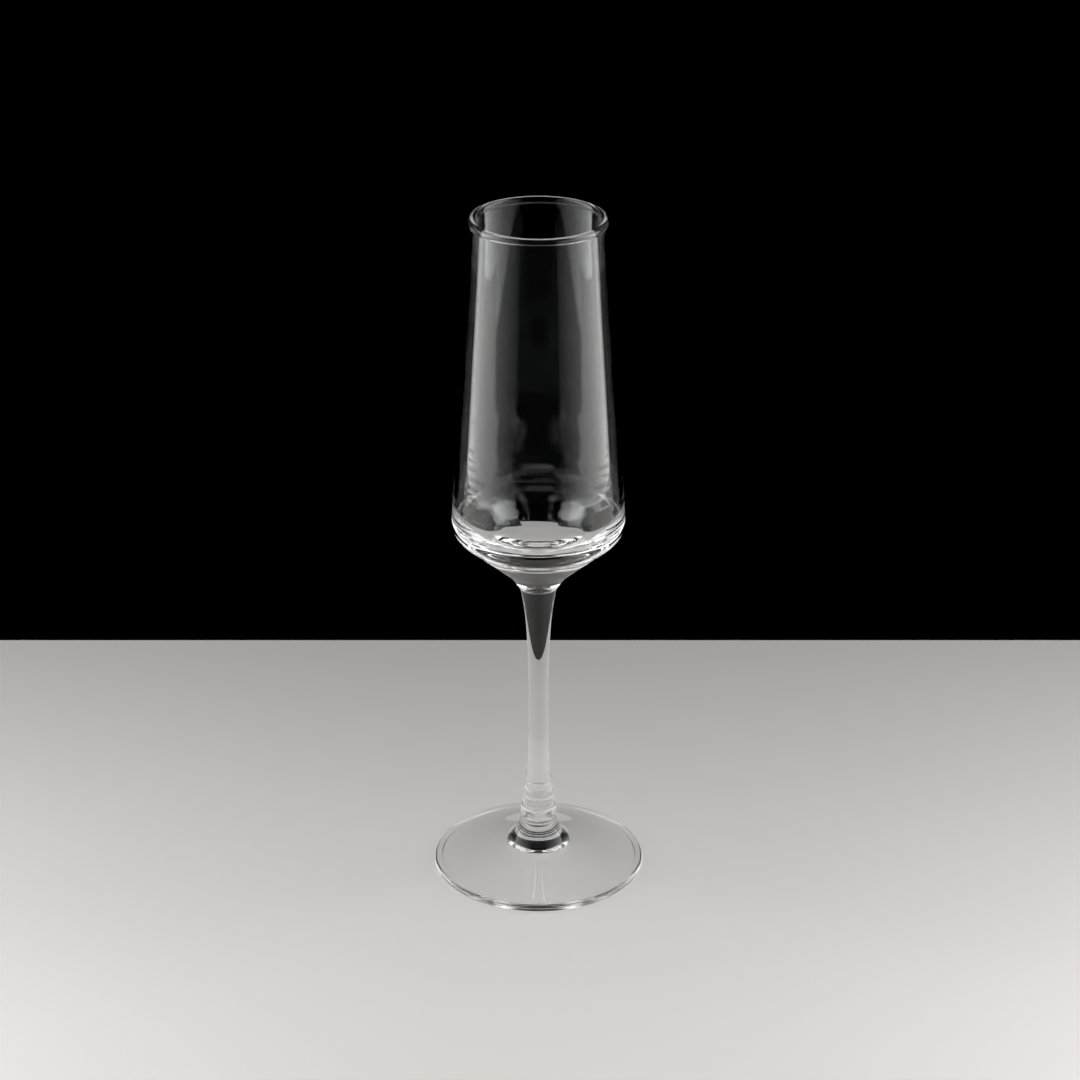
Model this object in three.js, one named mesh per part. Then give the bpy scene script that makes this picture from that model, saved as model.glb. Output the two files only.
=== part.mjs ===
// A clear champagne flute, melted together end to end from four pieces of glass:
// a blown bowl, a drawn stem, a stepped collar and a pressed foot.
// Sizes are in millimetres, angles in degrees. +Z is up, and the origin is the centre of
// the ring that the foot stands on.

import * as THREE from 'three';

const ROUND = 48; // facets around the axis
const SMOOTH = 8; // chords in one curved stretch of an outline

// Foot: a hollow cone of even thickness with a rolled edge, drawn up to the collar in a flare.
const footRadius = 35.5;
const footEdgeThickness = 2.5;
const footEdgeRoundness = 1.6; // how far the rolled edge reaches in from the outer radius
const footEdgeRoll = 52; // how far it turns over past its top, into a shallow valley
const restingRingWidth = 2;
const kickHeight = 5.2; // how far the middle of the underside stands clear of the table
const kickReach = 12; // how far its flat middle and its gently rising rim each reach
const kickRimRise = 0.8;
const footWeldRise = 14.8; // from the top of the rolled edge to the collar
const flareRadius = 11.8; // where the gentle skirt turns into the flare
const flareRise = 5.6; // how far that is above the edge
const skirtOuterReach = 7; // how far the skirt keeps the slope it has at the valley
const skirtOuterRise = 1.1;
const skirtInnerReach = 7.2; // and the slope it has at the flare
const skirtInnerRise = 2.2;
const flareEase = 2.1; // how far the flare keeps the skirt's slope
const flareThroat = 1.25; // how far it leans out over the last stretch below the collar
const flareThroatHeight = 6.1;

// Collar: two short tiers of glass, with a crease where the stem stands on it.
const footWeldRadius = 5.95; // shared by the foot's top and the collar's bottom
const lowerTierProud = 0.2; // how far the lower tier stands out from that weld
const lowerTierHeight = 4.5;
const upperTierHeight = 6.5;
const upperTierTaper = 0.5; // how much wider the upper tier is at its bottom
const lowerTierRoundness = 2.2;
const tierRoundness = 0.7;
const creaseRadius = 4.2; // shared by the collar's top and the stem's toe
const creaseDepth = 0.55; // how far the upper tier stands out above the crease

// Stem: a drawn solid rod, thicker at the toe and flared where it carries the bowl.
const stemRadius = 3.35;
const stemHeight = 75;
const toeProud = 0.25; // how far the toe stands out from the crease
const toeRoundness = 0.7;
const toeTaperLength = 17;
const topTaperLength = 37;
const bowlWeldRadius = 6.45; // shared by the stem's top and the bowl's bottom
const weldFlareAngle = 31; // slope away from the axis at that weld, the same on both pieces
const weldFlareLength = 3.4;

// Bowl: blown thin, widest low down, drawn in to a fire-polished rim.
const bowlHeight = 126.7; // from the weld to the top of the rim
const coneAngle = 49.2; // the closed lower end opens at this angle from the axis
const throatFlare = 2.15; // how much the weld's flare widens before it turns into the cone
const throatEase = 3.5;
const shoulderRadius = 28.35; // where the cone would meet the wall
const shoulderEase = 3.9;
const rimWallRadius = 21.9;
const bellyHandle = 36; // how far up the wall keeps the shoulder's slope
const bellyDrop = 1.6; // how much it draws in over that stretch
const rimHandle = 12; // length of nearly upright wall below the rim
const wallThickness = 1.3;
const shoulderThickness = 1.7;
const innerShoulderEase = 6;
const coneThickness = 4.2;
const floorThickness = 15.2; // solid glass between the weld and the flat floor inside
const floorEase = 3.5;
const rimBeadRadius = 1.15;
const rimBeadProud = 0.2; // how far the bead stands out from the wall

// Heights that follow from the sizes above.
const collarHeight = lowerTierHeight + upperTierHeight;
const footWeldHeight = footEdgeThickness + footWeldRise;
const creaseHeight = footWeldHeight + collarHeight;
const bowlWeldHeight = creaseHeight + stemHeight;
const rimHeight = bowlWeldHeight + bowlHeight;

const degrees = THREE.MathUtils.degToRad;
const at = (radius, height) => new THREE.Vector2(radius, height);

// The point at a given distance from one point towards another.
function towards(from, to, distance) {
  const step = to.clone().sub(from);
  return from.clone().add(step.setLength(distance));
}

// Points of a curve, without its last one, so that stretches can be laid end to end.
function stretch(curve, chords = SMOOTH) {
  return curve.getPoints(chords).slice(0, -1);
}

// A corner rounded off between two points that lie on its two sides.
function easedCorner(before, corner, after, chords = SMOOTH) {
  return stretch(new THREE.QuadraticBezierCurve(before, corner, after), chords);
}

// Turns an outline of (radius, height) points into a solid of revolution about Z. The
// outline starts on the axis at the bottom and runs up the outside.
function turned(name, outline) {
  const geometry = new THREE.LatheGeometry(outline, ROUND);
  geometry.rotateX(Math.PI / 2);
  const clearGlass = new THREE.MeshStandardMaterial({ color: 0xeef1f1, roughness: 0.03, metalness: 0 });
  const mesh = new THREE.Mesh(geometry, clearGlass);
  mesh.name = name;
  return mesh;
}

// An arc of an ellipse between two angles, without its last point.
function ellipseArc(centre, reachAcross, reachUp, startAngle, endAngle, chords) {
  return stretch(
    new THREE.EllipseCurve(centre.x, centre.y, reachAcross, reachUp, startAngle, endAngle), chords);
}

// Underside hollowed clear of the table, narrow ring to stand on, rolled edge, then a skirt
// that climbs parallel to the hollow and flares up to the collar.
function foot() {
  const ringOuter = footRadius - footEdgeRoundness;
  const ringInner = ringOuter - restingRingWidth;
  const edgeMiddle = footEdgeThickness / 2;
  const roll = degrees(footEdgeRoll);
  const valley = at(
    ringOuter - footEdgeRoundness * Math.sin(roll), edgeMiddle * (1 + Math.cos(roll)));
  const flareStart = at(flareRadius, footEdgeThickness + flareRise);
  const skirtEnd = at(flareRadius + skirtInnerReach, flareStart.y - skirtInnerRise);
  const kick = new THREE.CubicBezierCurve(
    at(0, kickHeight), at(kickReach, kickHeight), at(ringInner - kickReach, kickRimRise),
    at(ringInner, 0));
  const skirt = new THREE.CubicBezierCurve(
    valley, at(valley.x - skirtOuterReach, valley.y + skirtOuterRise), skirtEnd, flareStart);
  const flare = new THREE.CubicBezierCurve(
    flareStart, towards(flareStart, skirtEnd, -flareEase),
    at(footWeldRadius + flareThroat, footWeldHeight - flareThroatHeight),
    at(footWeldRadius, footWeldHeight));
  return turned('foot', [
    ...stretch(kick),
    at(ringInner, 0),
    ...ellipseArc(
      at(ringOuter, edgeMiddle), footEdgeRoundness, edgeMiddle, -Math.PI / 2, Math.PI / 2 + roll,
      1.5 * SMOOTH),
    ...stretch(skirt),
    ...stretch(flare),
    at(footWeldRadius, footWeldHeight),
    at(0, footWeldHeight),
  ]);
}

// A squat lower tier and a narrower upper one, both with softened edges.
function collar() {
  const stepHeight = footWeldHeight + lowerTierHeight;
  const lowerTierRadius = footWeldRadius + lowerTierProud;
  const upperEdge = at(creaseRadius + creaseDepth, creaseHeight);
  const upperFoot = at(upperEdge.x + upperTierTaper, stepHeight);
  return turned('collar', [
    at(0, footWeldHeight),
    at(footWeldRadius, footWeldHeight),
    at(lowerTierRadius, footWeldHeight + tierRoundness),
    ...easedCorner(
      at(lowerTierRadius, stepHeight - lowerTierRoundness), at(lowerTierRadius, stepHeight),
      upperFoot, SMOOTH / 2),
    upperFoot,
    ...easedCorner(
      towards(upperEdge, upperFoot, tierRoundness), upperEdge, at(creaseRadius, creaseHeight),
      SMOOTH / 2),
    at(creaseRadius, creaseHeight),
    at(0, creaseHeight),
  ]);
}

// A rod with a rounded toe, drawn thin in the middle and flared into the weld.
function stem() {
  const toe = at(creaseRadius + toeProud, creaseHeight + toeRoundness);
  const toeTop = toe.y + toeTaperLength;
  const topStart = bowlWeldHeight - topTaperLength;
  const toeTaper = new THREE.CubicBezierCurve(
    toe, at(toe.x, toe.y + toeTaperLength / 4), at(stemRadius, toeTop - toeTaperLength / 2),
    at(stemRadius, toeTop));
  const topTaper = new THREE.CubicBezierCurve(
    at(stemRadius, topStart), at(stemRadius, topStart + topTaperLength / 2),
    at(
      bowlWeldRadius - weldFlareLength * Math.sin(degrees(weldFlareAngle)),
      bowlWeldHeight - weldFlareLength * Math.cos(degrees(weldFlareAngle))),
    at(bowlWeldRadius, bowlWeldHeight));
  return turned('stem', [
    at(0, creaseHeight),
    at(creaseRadius, creaseHeight),
    ...stretch(toeTaper),
    at(stemRadius, toeTop),
    ...stretch(topTaper),
    at(bowlWeldRadius, bowlWeldHeight),
    at(0, bowlWeldHeight),
  ]);
}

// One face of the wall, from the cone's side of the shoulder up to the rim: the shoulder
// is eased, and the wall draws in to stand nearly upright at the top.
function wallFace(corner, coneEnd, ease, top) {
  const belly = at(corner.x - bellyDrop, corner.y + bellyHandle);
  const wallStart = towards(corner, belly, ease);
  const wall = new THREE.CubicBezierCurve(wallStart, belly, at(top.x, top.y - rimHandle), top);
  const shoulder = easedCorner(towards(corner, coneEnd, ease), corner, wallStart);
  return [...shoulder, ...stretch(wall), top];
}

// Thin wall, thicker shoulder, a thick cone that closes the lower end round a flat floor,
// and a bead melted round the rim.
function bowl() {
  const coneRun = Math.tan(degrees(coneAngle)); // radius gained for each unit of height
  const weldRun = Math.tan(degrees(weldFlareAngle));
  const throat = at(bowlWeldRadius + throatFlare, bowlWeldHeight + throatFlare / weldRun);
  const shoulder = at(shoulderRadius, throat.y + (shoulderRadius - throat.x) / coneRun);
  const coneStart = towards(throat, shoulder, throatEase);

  // The inside's shoulder lies where the thicknesses of the cone and the wall leave it, and
  // its cone runs down to a corner at the floor.
  const coneShift = coneThickness / Math.cos(degrees(coneAngle));
  const innerShoulder = at(
    shoulderRadius - shoulderThickness, shoulder.y + (coneShift - shoulderThickness) / coneRun);
  const floorHeight = bowlWeldHeight + floorThickness;
  const floorCorner = at(innerShoulder.x - (innerShoulder.y - floorHeight) * coneRun, floorHeight);
  const innerConeStart = towards(floorCorner, innerShoulder, floorEase);

  const innerWallRadius = rimWallRadius - wallThickness;
  const beadMiddle = at(rimWallRadius + rimBeadProud - rimBeadRadius, rimHeight - rimBeadRadius);
  const outerSeam = Math.acos((rimWallRadius - beadMiddle.x) / rimBeadRadius);
  const innerSeam = Math.acos((beadMiddle.x - innerWallRadius) / rimBeadRadius);
  const beadArc = (start, end) => ellipseArc(
    beadMiddle, rimBeadRadius, rimBeadRadius, start, end, SMOOTH / 2);
  const outerTop = at(rimWallRadius, beadMiddle.y - rimBeadRadius * Math.sin(outerSeam));
  const innerTop = at(innerWallRadius, beadMiddle.y - rimBeadRadius * Math.sin(innerSeam));

  const inside = [
    at(0, floorHeight),
    ...easedCorner(at(floorCorner.x - floorEase, floorHeight), floorCorner, innerConeStart),
    innerConeStart,
    ...wallFace(innerShoulder, innerConeStart, innerShoulderEase, innerTop),
  ];
  return turned('bowl', [
    at(0, bowlWeldHeight),
    ...easedCorner(at(bowlWeldRadius, bowlWeldHeight), throat, coneStart),
    coneStart,
    ...wallFace(shoulder, coneStart, shoulderEase, outerTop),
    ...beadArc(-outerSeam, Math.PI / 2).slice(1),
    ...beadArc(Math.PI / 2, Math.PI + innerSeam),
    ...inside.reverse(),
  ]);
}

const flute = new THREE.Group();
flute.add(bowl(), stem(), collar(), foot());

export default flute;
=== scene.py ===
import math

import bpy
import numpy as np
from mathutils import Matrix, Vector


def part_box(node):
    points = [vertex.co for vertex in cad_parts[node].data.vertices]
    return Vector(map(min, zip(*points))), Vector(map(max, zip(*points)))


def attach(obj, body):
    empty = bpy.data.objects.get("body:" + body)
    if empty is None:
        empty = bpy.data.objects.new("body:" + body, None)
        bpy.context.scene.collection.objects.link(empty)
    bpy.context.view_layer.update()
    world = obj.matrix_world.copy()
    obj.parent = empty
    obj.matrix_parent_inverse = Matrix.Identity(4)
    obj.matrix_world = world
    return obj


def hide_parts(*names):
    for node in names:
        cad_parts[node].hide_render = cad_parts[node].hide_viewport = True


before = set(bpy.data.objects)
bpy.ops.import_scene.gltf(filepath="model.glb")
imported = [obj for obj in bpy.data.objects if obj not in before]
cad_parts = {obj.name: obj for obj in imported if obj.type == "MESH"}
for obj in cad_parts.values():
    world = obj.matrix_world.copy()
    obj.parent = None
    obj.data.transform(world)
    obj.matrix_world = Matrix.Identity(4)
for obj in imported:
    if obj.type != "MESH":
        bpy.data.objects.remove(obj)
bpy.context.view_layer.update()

# The champagne flute as it is put together: pressed foot, stepped collar, drawn stem and
# blown bowl, melted onto each other end to end. Everything is in metres.
MM = 0.001

# ---------------------------------------------------------------------------------------
# Camera. A portrait lens at about arm's length, above the rim and looking down at the
# middle of the glass.
camera_data = bpy.data.cameras.new("camera")
camera_data.sensor_width = 36
camera_data.lens = 100
camera = bpy.data.objects.new("camera", camera_data)
camera_back = 887.7 * MM
camera_height = 527.1 * MM
camera_tilt = math.radians(24.65)
camera.location = (0.5 * MM, -camera_back, camera_height)
camera.rotation_euler = (math.pi / 2 - camera_tilt, 0, 0)
bpy.context.scene.collection.objects.link(camera)
bpy.context.scene.camera = camera

# ---------------------------------------------------------------------------------------
# Tabletop. A plain pale board that ends a hand's breadth behind the glass, so that the
# bowl stands against the dark and the stem and foot against the board.
def slab(name, low, high):
    """A closed box between two corners: every mix of their coordinates is a vertex."""
    corner = np.array([low, high])
    ring = [[0, 0], [1, 0], [1, 1], [0, 1]]
    pick = np.array([[*across, up] for up in (0, 1) for across in ring])
    sides = [(0, 3, 2, 1), (4, 5, 6, 7), (0, 1, 5, 4), (1, 2, 6, 5), (2, 3, 7, 6), (3, 0, 4, 7)]
    mesh = bpy.data.meshes.new(name)
    mesh.from_pydata(corner[pick, np.arange(3)].tolist(), [], sides)
    piece = bpy.data.objects.new(name, mesh)
    bpy.context.scene.collection.objects.link(piece)
    return piece


def new_material(name):
    """An empty node material, its node tree, and the output node that ends it."""
    material = bpy.data.materials.new(name)
    material.use_nodes = True
    tree = material.node_tree
    tree.nodes.clear()
    return material, tree, tree.nodes.new("ShaderNodeOutputMaterial")


def add_node(tree, kind, settings=None, **sockets):
    """A node in a tree, with its settings and its input sockets set or linked by name."""
    node = tree.nodes.new("ShaderNode" + kind)
    for key, value in (settings or {}).items():
        setattr(node, key, value)
    for key, value in sockets.items():
        socket = node.inputs[key.replace("_", " ")]
        if isinstance(value, bpy.types.NodeSocket):
            tree.links.new(value, socket)
        else:
            socket.default_value = value
    return node


board_reach = 420 * MM
board_front_edge = -136 * MM
board_joint = -75 * MM  # in front of this the board is a slab of its own, the apron
board_back_edge = 166.7 * MM
board_thickness = 24 * MM
board_top = -0.05 * MM  # a hair below the foot, as glass never lies dead flat on wood
board = slab(
    "board", (-board_reach, board_joint, board_top - board_thickness),
    (board_reach, board_back_edge, board_top))
apron = slab(
    "board_apron", (-board_reach, board_front_edge, board_top - board_thickness),
    (board_reach, board_joint, board_top))
apron.visible_transmission = False  # or the bowl's lower end would throw it up the back wall

board_material, tree, output = new_material("pale_board")
place = add_node(tree, "TexCoord").outputs["Object"]
cloud = add_node(tree, "TexNoise", Vector=place, Scale=3.0, Detail=3.0).outputs["Fac"]
tone = add_node(tree, "Mix", {"data_type": "RGBA"})
tree.links.new(cloud, tone.inputs["Factor"])
tone.inputs["A"].default_value = (0.385, 0.373, 0.365, 1)
tone.inputs["B"].default_value = (0.43, 0.418, 0.41, 1)
matte = add_node(tree, "BsdfPrincipled", Roughness=0.55)
tree.links.new(tone.outputs["Result"], matte.inputs["Base Color"])
tree.links.new(matte.outputs["BSDF"], output.inputs["Surface"])
for half in (board, apron):
    half.data.materials.append(board_material)

# ---------------------------------------------------------------------------------------
# Light. Two tall soft panels at the sides that fade out towards the front, two fills for the
# board alone, two small lamps for glints, and an almost black room behind.
def soft_panel(name, centre, target, width, height, brightness, fade=1.0):
    """A rectangular lamp at a point, turned to face another point. Its radiance is
    brightness * fade ** u, where u runs from 0 at one end of its width to 1 at the other."""
    lamp = bpy.data.lights.new(name, "AREA")
    lamp.shape = "RECTANGLE"
    lamp.size, lamp.size_y = width, height
    lamp.energy = math.pi * width * height * brightness
    lamp.use_nodes = True
    tree = lamp.node_tree
    tree.nodes.clear()
    along = add_node(tree, "SeparateXYZ", Vector=add_node(tree, "NewGeometry").outputs["Parametric"])
    faded = add_node(tree, "Math", {"operation": "POWER"})
    faded.inputs[0].default_value = fade
    tree.links.new(along.outputs["X"], faded.inputs[1])
    emission = add_node(tree, "Emission", Strength=faded.outputs["Value"])
    output = tree.nodes.new("ShaderNodeOutputLight")
    tree.links.new(emission.outputs["Emission"], output.inputs["Surface"])
    panel = bpy.data.objects.new(name, lamp)
    facing = np.subtract(target, centre)
    across = np.cross(facing, (0, 0, 1))
    across = across / np.linalg.norm(across)
    facing = facing / np.linalg.norm(facing)
    upward = np.cross(across, facing)
    panel.matrix_world = [(*across, 0), (*upward, 0), (*-facing, 0), (*centre, 1)]
    bpy.context.scene.collection.objects.link(panel)
    return panel


panel_distance = 430 * MM
panel_width = 900 * MM
panel_height = 900 * MM
panel_rear_edge = 165 * MM
panel_middle = (panel_rear_edge - panel_width / 2, 400 * MM)
panel_brightness = 3.2
panel_fade = 0.03  # from the rear end, nearest the board's back edge, to the front end
for side, name in ((-1, "left_panel"), (1, "right_panel")):
    at_start, fade = (1, panel_fade) if side < 0 else (panel_fade, 1 / panel_fade)
    panel = soft_panel(
        name, (side * panel_distance, *panel_middle), (0, *panel_middle), panel_width,
        panel_height, panel_brightness * at_start, fade)
    panel.visible_camera = True

only_board = bpy.data.collections.new("only_board")
for half in (board, apron):
    only_board.objects.link(half)
fill_out = 340 * MM
fill_lean = 50 * MM
fill_back = -200 * MM
fill_height = 330 * MM
fill_size = (250 * MM, 300 * MM)
fill_brightness = 11.0
for side, name in ((-1, "left_fill"), (1, "right_fill")):
    fill = soft_panel(
        name, (side * fill_out, fill_back, fill_height),
        (side * (fill_out - fill_lean), fill_back + 10 * MM, 0), *fill_size, fill_brightness)
    fill.visible_camera = False
    fill.light_linking.receiver_collection = only_board
    fill.light_linking.blocker_collection = only_board

# Two soft lamps high on either side put the glints on the rim and in the bowl's lower end.
# They light everything but the board.
not_board = bpy.data.collections.new("not_board")
for half in (board, apron):
    not_board.objects.link(half)
for member in not_board.collection_objects:
    member.light_linking.link_state = "EXCLUDE"
rim_lamp_out = 500 * MM
rim_lamp_back = 60 * MM
rim_lamp_height = 900 * MM
rim_lamp_size = 350 * MM
rim_lamp_brightness = 2.8
for side, name in ((-1, "left_rim_lamp"), (1, "right_rim_lamp")):
    rim_lamp = soft_panel(
        name, (side * rim_lamp_out, rim_lamp_back, rim_lamp_height), (0, 0, 230 * MM),
        rim_lamp_size, rim_lamp_size, rim_lamp_brightness)
    rim_lamp.light_linking.receiver_collection = not_board

# The room is black behind the glass and a little lighter on the near side.
room = bpy.data.worlds.new("dark_room")
room.use_nodes = True
tree = room.node_tree
direction = add_node(tree, "SeparateXYZ", Vector=add_node(tree, "TexCoord").outputs["Generated"])
near_side = add_node(tree, "MapRange", Value=direction.outputs["Y"])
near_side.inputs["From Min"].default_value = 0.3
near_side.inputs["From Max"].default_value = -1.0
near_side.inputs["To Min"].default_value = 0.0016
near_side.inputs["To Max"].default_value = 0.03
tree.links.new(near_side.outputs["Result"], tree.nodes["Background"].inputs["Strength"])
tree.nodes["Background"].inputs["Color"].default_value = (1.0, 1.0, 1.05, 1)
bpy.context.scene.world = room

# Light has to run a long way inside thick glass before it finds its way out.
light_paths = bpy.context.scene.cycles
light_paths.max_bounces = 32
light_paths.glossy_bounces = 32
light_paths.transmission_bounces = 32
look = bpy.context.scene.view_settings
look.view_transform = "Standard"
look.use_curve_mapping = True
look.curve_mapping.black_level = (0.004, 0.004, 0.004)
look.curve_mapping.update()

# ---------------------------------------------------------------------------------------
# Foot. A hollow cone of clear glass, pressed with a rolled edge, so that it stands on a
# narrow ring near its rim, and drawn up in a flare to carry the collar.
def bezier(handles, count):
    """Points of a Bezier curve from its first handle up to its last, which is left out. Each
    handle is weighted by comb(n, k) t^k (1 - t)^(n - k), its Bernstein polynomial."""
    t = np.arange(count)[:, None] / count
    last = len(handles) - 1
    weights = [math.comb(last, k) * t**k * (1 - t) ** (last - k) for k in range(last + 1)]
    return sum(weight * np.array(handle) for weight, handle in zip(weights, handles))


def arc(middle, across, up, start, end, count):
    """Points of an ellipse's arc, (middle_r + across cos a, middle_z + up sin a), for angles
    a from start up to end, which is left out."""
    a = np.linspace(start, end, count, endpoint=False)
    return np.column_stack([middle[0] + across * np.cos(a), middle[1] + up * np.sin(a)])


def toward(start, end, distance):
    """The point at a distance from one point on the line towards another."""
    start, end = np.array(start), np.array(end)
    return start + (end - start) * distance / np.linalg.norm(end - start)


def turned_glass(name, outline, facets=256, ripple=None):
    """A closed solid of revolution. The outline (radius, height) runs from the axis up the
    outside and back to the axis, and vertex (i, j) is at (r_i cos a_j, r_i sin a_j, z_i),
    where r_i also carries ripple(r, a, z) if one is given."""
    outline = np.array(outline)
    radius, height = outline[1:-1, 0][:, None], outline[1:-1, 1][:, None]
    angle = np.linspace(0, 2 * math.pi, facets, endpoint=False)[None, :]
    spun = radius + (ripple(np.arange(len(radius))[:, None], angle, height) if ripple else 0 * angle)
    rings = np.stack([spun * np.cos(angle), spun * np.sin(angle), height + 0 * angle], axis=-1)
    poles = np.array([[0, 0, outline[0, 1]], [0, 0, outline[-1, 1]]])
    points = np.concatenate([rings.reshape(-1, 3), poles])

    count = len(outline) - 2
    near = np.arange(facets)
    far = (near + 1) % facets
    row = np.arange(count - 1)[:, None] * facets
    quads = np.stack([row + near, row + far, row + facets + far, row + facets + near], axis=-1)
    bottom = np.column_stack([far, near, np.full(facets, count * facets)])
    top = np.column_stack([near, far, np.full(facets, 0)]) + (count - 1) * facets
    top[:, 2] = count * facets + 1
    mesh = bpy.data.meshes.new(name)
    faces = bottom.tolist() + quads.reshape(-1, 4).tolist() + top.tolist()
    mesh.from_pydata(points.tolist(), [], faces)
    mesh.polygons.foreach_set("use_smooth", np.ones(len(mesh.polygons), bool))
    piece = bpy.data.objects.new(name, mesh)
    bpy.context.scene.collection.objects.link(piece)
    return piece


def melt_ends(piece, facets=256, first=True, last=True):
    """Gives the flat discs at an outline's first and last point, which are the first and the
    last triangles of the mesh, the joint's material, as they are melted into the neighbour."""
    piece.data.materials.append(melted_joint)
    melted = np.zeros(len(piece.data.polygons), np.int32)
    melted[:facets] = first
    melted[-facets:] = last
    piece.data.polygons.foreach_set("material_index", melted)
    piece.data.polygons.foreach_set("use_smooth", melted == 0)


def new_effect(name, inputs, output, kind):
    """An empty shader node group with one output. Inputs maps a name to its kind and value."""
    group = bpy.data.node_groups.new(name, "ShaderNodeTree")
    face = group.interface
    for key, (socket, value) in inputs.items():
        face.new_socket(key, in_out="INPUT", socket_type="NodeSocket" + socket).default_value = value
    face.new_socket(output, in_out="OUTPUT", socket_type="NodeSocket" + kind)
    return group, group.nodes.new("NodeGroupInput").outputs, group.nodes.new("NodeGroupOutput").inputs


def ranged(tree, value, low, high, to_low, to_high):
    """A value mapped from low..high onto to_low..to_high, and held at the ends."""
    mapped = add_node(tree, "MapRange", Value=value)
    numbers = {"From Min": low, "From Max": high, "To Min": to_low, "To Max": to_high}
    for key, number in numbers.items():
        if isinstance(number, bpy.types.NodeSocket):
            tree.links.new(number, mapped.inputs[key])
        else:
            mapped.inputs[key].default_value = number
    return mapped.outputs["Result"]


# Glass keeps the waviness of its making: soft waves, drawn out along the piece.
forming_waves, given, result = new_effect(
    "forming_waves", {"Waves Per Metre": ("Vector", (60, 60, 60)), "Depth": ("Float", 0.0)},
    "Normal", "Vector")
place = add_node(forming_waves, "TexCoord").outputs["Object"]
stretched = add_node(forming_waves, "Mapping", Vector=place, Scale=given["Waves Per Metre"])
waves = add_node(
    forming_waves, "TexNoise", Vector=stretched.outputs["Vector"], Scale=1.0, Detail=2.0, Roughness=0.4)
bump = add_node(
    forming_waves, "Bump", Strength=1.0, Distance=given["Depth"], Height=waves.outputs["Fac"])
forming_waves.links.new(bump.outputs["Normal"], result["Normal"])

# Handling and polishing leave faint smears, a few centimetres across, with clean glass between.
handling_marks, given, result = new_effect(
    "handling_marks", {"Haze": ("Float", 0.0)}, "Roughness", "Float")
place = add_node(handling_marks, "TexCoord").outputs["Object"]
smears = add_node(handling_marks, "TexNoise", Vector=place, Scale=55.0, Detail=5.0, Roughness=0.6)
haze = ranged(handling_marks, smears.outputs["Fac"], 0.45, 0.8, 0.0, given["Haze"])
handling_marks.links.new(haze, result["Roughness"])

# Molten glass is never quite even: fine cords in it are a shade greener than the rest.
melt_cords, given, result = new_effect(
    "melt_cords", {"Cords Per Metre": ("Vector", (300, 300, 40))}, "Color", "Color")
place = add_node(melt_cords, "TexCoord").outputs["Object"]
drawn = add_node(melt_cords, "Mapping", Vector=place, Scale=given["Cords Per Metre"])
cords = add_node(melt_cords, "TexNoise", Vector=drawn.outputs["Vector"], Scale=1.0, Detail=3.0)
tint = add_node(melt_cords, "Mix", {"data_type": "RGBA"})
melt_cords.links.new(cords.outputs["Fac"], tint.inputs["Factor"])
tint.inputs["A"].default_value = (0.978, 0.99, 0.984, 1)
tint.inputs["B"].default_value = (0.99, 0.99, 0.994, 1)
melt_cords.links.new(tint.outputs["Result"], result["Color"])


def clear_glass(name, waves_per_metre, wave_depth, cords_per_metre):
    """Clear soda-lime glass. Returns the material, its tree, the haze and the shell node."""
    material, tree, output = new_material(name)
    waves = add_node(
        tree, "Group", {"node_tree": forming_waves}, Waves_Per_Metre=waves_per_metre, Depth=wave_depth)
    marks = add_node(tree, "Group", {"node_tree": handling_marks}, Haze=0.05)
    cords = add_node(tree, "Group", {"node_tree": melt_cords}, Cords_Per_Metre=cords_per_metre)
    shell = add_node(
        tree, "BsdfPrincipled", IOR=1.52, Transmission_Weight=1.0, Base_Color=cords.outputs["Color"],
        Roughness=marks.outputs["Roughness"], Normal=waves.outputs["Normal"])
    tree.links.new(shell.outputs["BSDF"], output.inputs["Surface"])
    return material, tree, marks.outputs["Roughness"], shell


# Where two pieces are melted together there is no surface left, so light goes straight on.
melted_joint, tree, output = new_material("melted_joint")
through = add_node(tree, "BsdfTransparent")
tree.links.new(through.outputs["BSDF"], output.inputs["Surface"])

foot_low, foot_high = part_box("foot")
foot_radius = foot_high.x
foot_top = foot_high.z
edge_thickness = 2.5 * MM
edge_roundness = 1.6 * MM
edge_roll = math.radians(52)
ring_width = 2 * MM
kick_height = 5.2 * MM
kick_reach = 12 * MM
kick_rim_rise = 0.8 * MM
foot_weld_radius = 5.95 * MM
ring_outer = foot_radius - edge_roundness
ring_inner = ring_outer - ring_width
edge_middle = (ring_outer, edge_thickness / 2)
valley = (
    ring_outer - edge_roundness * math.sin(edge_roll), edge_thickness / 2 * (1 + math.cos(edge_roll)))
skirt_start = (valley[0] - 7 * MM, valley[1] + 1.1 * MM)
flare_base = (11.8 * MM, edge_thickness + 5.6 * MM)
skirt_end = (flare_base[0] + 7.2 * MM, flare_base[1] - 2.2 * MM)
flare_ease = 2.1 * MM
flare_neck = (foot_weld_radius + 1.25 * MM, foot_top - 6.1 * MM)

foot = turned_glass("foot_glass", np.concatenate([
    [(0, kick_height)],
    bezier([(0, kick_height), (kick_reach, kick_height), (ring_inner - kick_reach, kick_rim_rise),
            (ring_inner, 0)], 48)[1:],
    bezier([(ring_inner, 0), (ring_outer, 0)], 6),
    arc(edge_middle, edge_roundness, edge_thickness / 2, -math.pi / 2, math.pi / 2 + edge_roll, 48),
    bezier([valley, skirt_start, skirt_end, flare_base], 40),
    bezier([flare_base, toward(flare_base, skirt_end, -flare_ease), flare_neck,
            (foot_weld_radius, foot_top)], 48),
    [(foot_weld_radius, foot_top), (0, foot_top)]]))

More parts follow.
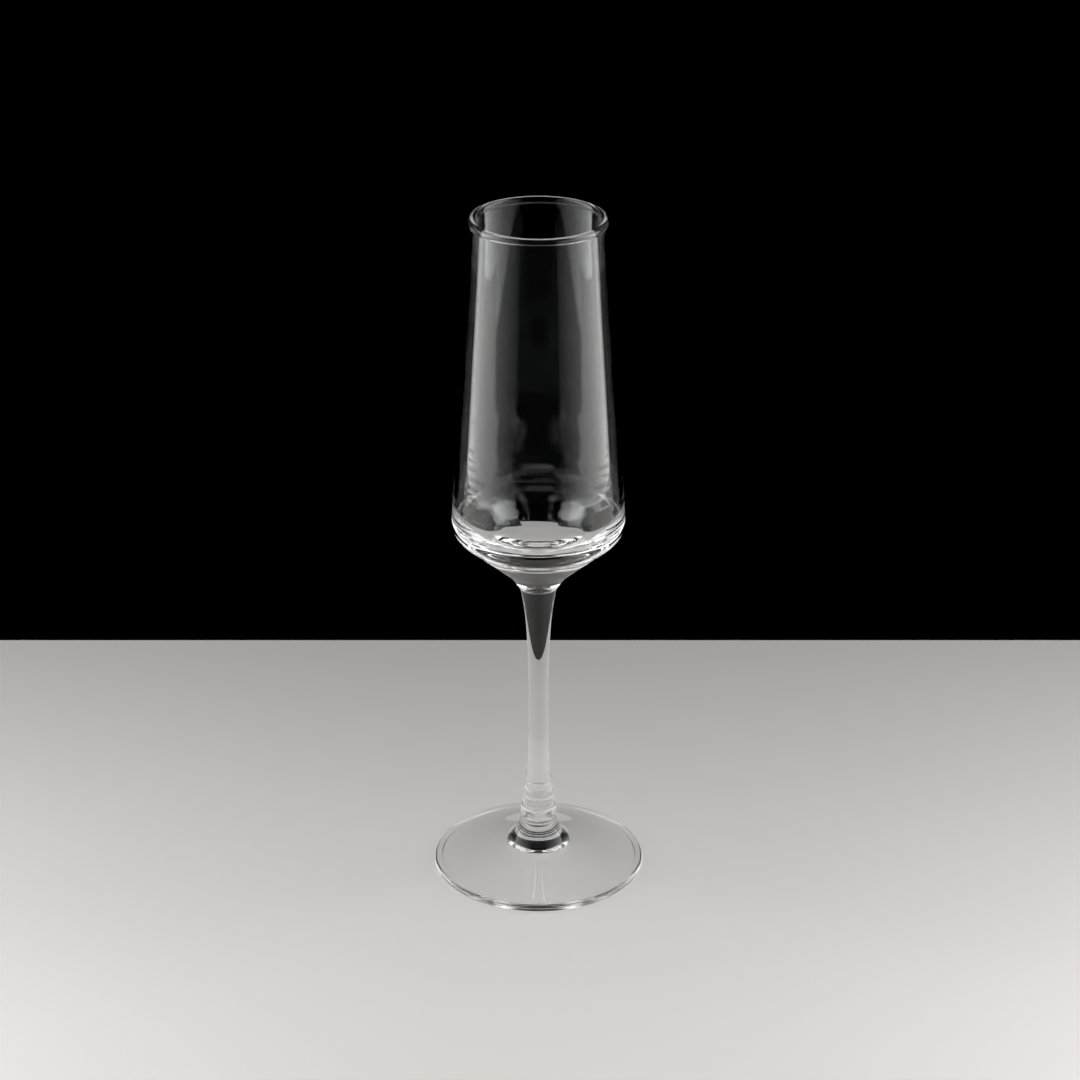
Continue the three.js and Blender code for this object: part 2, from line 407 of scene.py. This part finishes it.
# Standing on tables has scuffed the resting ring: fine scratches, only at table height.
pressed_glass, tree, haze, shell = clear_glass(
    "pressed_glass", (60, 60, 60), 0.02 * MM, (120, 120, 120))
place = add_node(tree, "TexCoord").outputs["Object"]
height_above_table = add_node(tree, "SeparateXYZ", Vector=place).outputs["Z"]
at_table = ranged(tree, height_above_table, 0.02 * MM, 0.12 * MM, 1.0, 0.0)
scratches = add_node(tree, "TexNoise", Vector=place, Scale=2600.0, Detail=4.0).outputs["Fac"]
scuffing = ranged(tree, scratches, 0.5, 0.62, 0.0, 0.06)
scuffs = add_node(tree, "Math", {"operation": "MULTIPLY"})
tree.links.new(at_table, scuffs.inputs[0])
tree.links.new(scuffing, scuffs.inputs[1])
worn = add_node(tree, "Math", {"operation": "ADD"})
tree.links.new(haze, worn.inputs[0])
tree.links.new(scuffs.outputs["Value"], worn.inputs[1])
tree.links.new(worn.outputs["Value"], shell.inputs["Roughness"])
foot.data.materials.append(pressed_glass)
melt_ends(foot, first=False)
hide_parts("foot")
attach(foot, "root")

# ---------------------------------------------------------------------------------------
# Collar. A short knuckle of two tiers between foot and stem, pressed while soft, so all
# its edges are rounded.
collar_low, collar_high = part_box("collar")
lower_tier = collar_high.x
lower_tier_height = 4.5 * MM
lower_tier_roundness = 2.2 * MM
upper_tier_taper = 0.5 * MM
tier_roundness = 0.7 * MM
crease_radius = 4.2 * MM
crease_depth = 0.55 * MM
crease_height = collar_high.z
step_height = foot_top + lower_tier_height
round_start = (lower_tier, step_height - lower_tier_roundness)
upper_edge = (crease_radius + crease_depth, crease_height)
upper_foot = (upper_edge[0] + upper_tier_taper, step_height)
upper_round = toward(upper_edge, upper_foot, tier_roundness)

collar = turned_glass("collar_glass", np.concatenate([
    [(0, foot_top), (foot_weld_radius, foot_top)],
    bezier([(lower_tier, foot_top + tier_roundness), round_start], 8),
    bezier([round_start, (lower_tier, step_height), upper_foot], 16),
    bezier([upper_foot, upper_round], 10),
    bezier([upper_round, upper_edge, (crease_radius, crease_height)], 12),
    [(crease_radius, crease_height), (0, crease_height)]]))
collar.data.materials.append(clear_glass("knuckle_glass", (90, 90, 90), 0.01 * MM, (200, 200, 200))[0])
melt_ends(collar)
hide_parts("collar")
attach(collar, "root")

# ---------------------------------------------------------------------------------------
# Stem. A solid rod drawn down while hot, with a rounded toe on the collar and a flare
# that takes the weight of the bowl.
stem_low, stem_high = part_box("stem")
bowl_weld_height = stem_high.z
bowl_weld_radius = stem_high.x
stem_radius = 3.35 * MM
toe_proud = 0.25 * MM
toe_roundness = 0.7 * MM
toe_taper = 17 * MM
top_taper = 37 * MM
toe = (crease_radius + toe_proud, crease_height + toe_roundness)
toe_top = toe[1] + toe_taper
flare_start = bowl_weld_height - top_taper
weld_slope = math.radians(31)
weld_flare = 3.4 * MM
weld_lean = (
    bowl_weld_radius - weld_flare * math.sin(weld_slope),
    bowl_weld_height - weld_flare * math.cos(weld_slope))

stem = turned_glass("stem_glass", np.concatenate([
    [(0, crease_height)],
    bezier([(crease_radius, crease_height), (toe[0], crease_height), toe], 8),
    bezier([toe, (toe[0], toe[1] + toe_taper / 4), (stem_radius, toe_top - toe_taper / 2),
            (stem_radius, toe_top)], 24),
    bezier([(stem_radius, toe_top), (stem_radius, flare_start)], 12),
    bezier([(stem_radius, flare_start), (stem_radius, flare_start + top_taper / 2), weld_lean,
            (bowl_weld_radius, bowl_weld_height)], 40),
    [(bowl_weld_radius, bowl_weld_height), (0, bowl_weld_height)]]))
stem.data.materials.append(clear_glass("drawn_glass", (160, 160, 14), 0.01 * MM, (500, 500, 12))[0])
melt_ends(stem)
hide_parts("stem")
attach(stem, "root")

# ---------------------------------------------------------------------------------------
# Bowl. Blown thin, thickest at the cone that closes its lower end, drawn in towards the
# top, with a bead melted round the rim.
bowl_low, bowl_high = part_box("bowl")
rim_height = bowl_high.z
cone_angle = math.radians(49.2)
throat_flare = 2.15 * MM
throat_ease = 3.5 * MM
shoulder_radius = 28.35 * MM
rim_wall_radius = 21.9 * MM
wall_thickness = 1.3 * MM
shoulder_thickness = 1.7 * MM
shoulder_ease = 3.9 * MM
cone_thickness = 4.2 * MM
floor_thickness = 15.2 * MM
floor_ease = 3.5 * MM
inner_ease = 6 * MM
belly_drop = 1.6 * MM
belly_handle = 36 * MM
rim_handle = 12 * MM
bead_radius = 1.15 * MM
bead_proud = 0.2 * MM


def wall_face(corner, cone_end, top, ease, points=60):
    """One face of the wall from the cone to the rim: a quadratic ease round the shoulder's
    corner, then a cubic that leaves along the belly and ends upright under the rim."""
    belly = (corner[0] - belly_drop, corner[1] + belly_handle)
    wall_start = toward(corner, belly, ease)
    return np.concatenate([
        bezier([toward(corner, cone_end, ease), corner, wall_start], 24),
        bezier([wall_start, belly, (top[0], top[1] - rim_handle), top], points),
        [top]])


cone_run = math.tan(cone_angle)
throat = (bowl_weld_radius + throat_flare, bowl_weld_height + throat_flare / math.tan(weld_slope))
shoulder = (shoulder_radius, throat[1] + (shoulder_radius - throat[0]) / cone_run)
cone_start = toward(throat, shoulder, throat_ease)
inner_wall = rim_wall_radius - wall_thickness
bead_middle = (rim_wall_radius + bead_proud - bead_radius, rim_height - bead_radius)
outer_seam = math.acos((rim_wall_radius - bead_middle[0]) / bead_radius)
inner_seam = math.acos((bead_middle[0] - inner_wall) / bead_radius)
outer_top = (rim_wall_radius, bead_middle[1] - bead_radius * math.sin(outer_seam))
inner_top = (inner_wall, bead_middle[1] - bead_radius * math.sin(inner_seam))

floor_height = bowl_weld_height + floor_thickness
cone_gap = cone_thickness / math.sin(cone_angle)
inner_shoulder = (
    shoulder_radius - shoulder_thickness, shoulder[1] + cone_gap - shoulder_thickness / cone_run)
floor_corner = (inner_shoulder[0] - (inner_shoulder[1] - floor_height) * cone_run, floor_height)
floor_edge = floor_corner[0] - floor_ease
inside = np.concatenate([
    bezier([(0, floor_height), (floor_edge, floor_height)], 12),
    bezier([(floor_edge, floor_height), floor_corner,
            toward(floor_corner, inner_shoulder, floor_ease)], 24),
    bezier([toward(floor_corner, inner_shoulder, floor_ease),
            toward(inner_shoulder, floor_corner, inner_ease)], 10),
    wall_face(inner_shoulder, floor_corner, inner_top, inner_ease, 160)])
outside = np.concatenate([
    [(0, bowl_weld_height)],
    bezier([(bowl_weld_radius, bowl_weld_height), throat, cone_start], 16),
    bezier([cone_start, toward(shoulder, cone_start, shoulder_ease)], 16),
    wall_face(shoulder, cone_start, outer_top, shoulder_ease),
    arc(bead_middle, bead_radius, bead_radius, -outer_seam, math.pi / 2, 14)[1:],
    arc(bead_middle, bead_radius, bead_radius, math.pi / 2, math.pi + inner_seam, 14)])


ripple_swell = 0.012 * MM
ripple_rise = (126 * MM, 134 * MM)
ripple_fall = (140 * MM, 200 * MM)
fine_pitch = 3.1 * MM
coarse_pitch = 5.3 * MM


def chill_ripple(row, angle, height):
    """Ripples that the mould's chill leaves on the inside only: swell times the sum of two
    slanting waves, sin(2 pi z / pitch + turns * a), faded in above the shoulder and out up
    the wall by smooth steps 3 t^2 - 2 t^3."""
    inner = row >= len(outside) - 1
    rise = np.clip((height - ripple_rise[0]) / (ripple_rise[1] - ripple_rise[0]), 0, 1)
    fall = np.clip((ripple_fall[1] - height) / (ripple_fall[1] - ripple_fall[0]), 0, 1)
    fade = (3 * rise**2 - 2 * rise**3) * (3 * fall**2 - 2 * fall**3)
    fine = np.sin(2 * math.pi * height / fine_pitch + 2 * angle)
    coarse = 0.6 * np.sin(2 * math.pi * height / coarse_pitch - 3 * angle)
    return inner * fade * ripple_swell * (fine + coarse)


bowl = turned_glass("bowl_glass", np.concatenate([outside, inside[::-1]]), 240, chill_ripple)
bowl.data.materials.append(clear_glass("blown_glass", (70, 70, 18), 0.02 * MM, (90, 90, 30))[0])
melt_ends(bowl, 240, last=False)
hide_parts("bowl")
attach(bowl, "root")
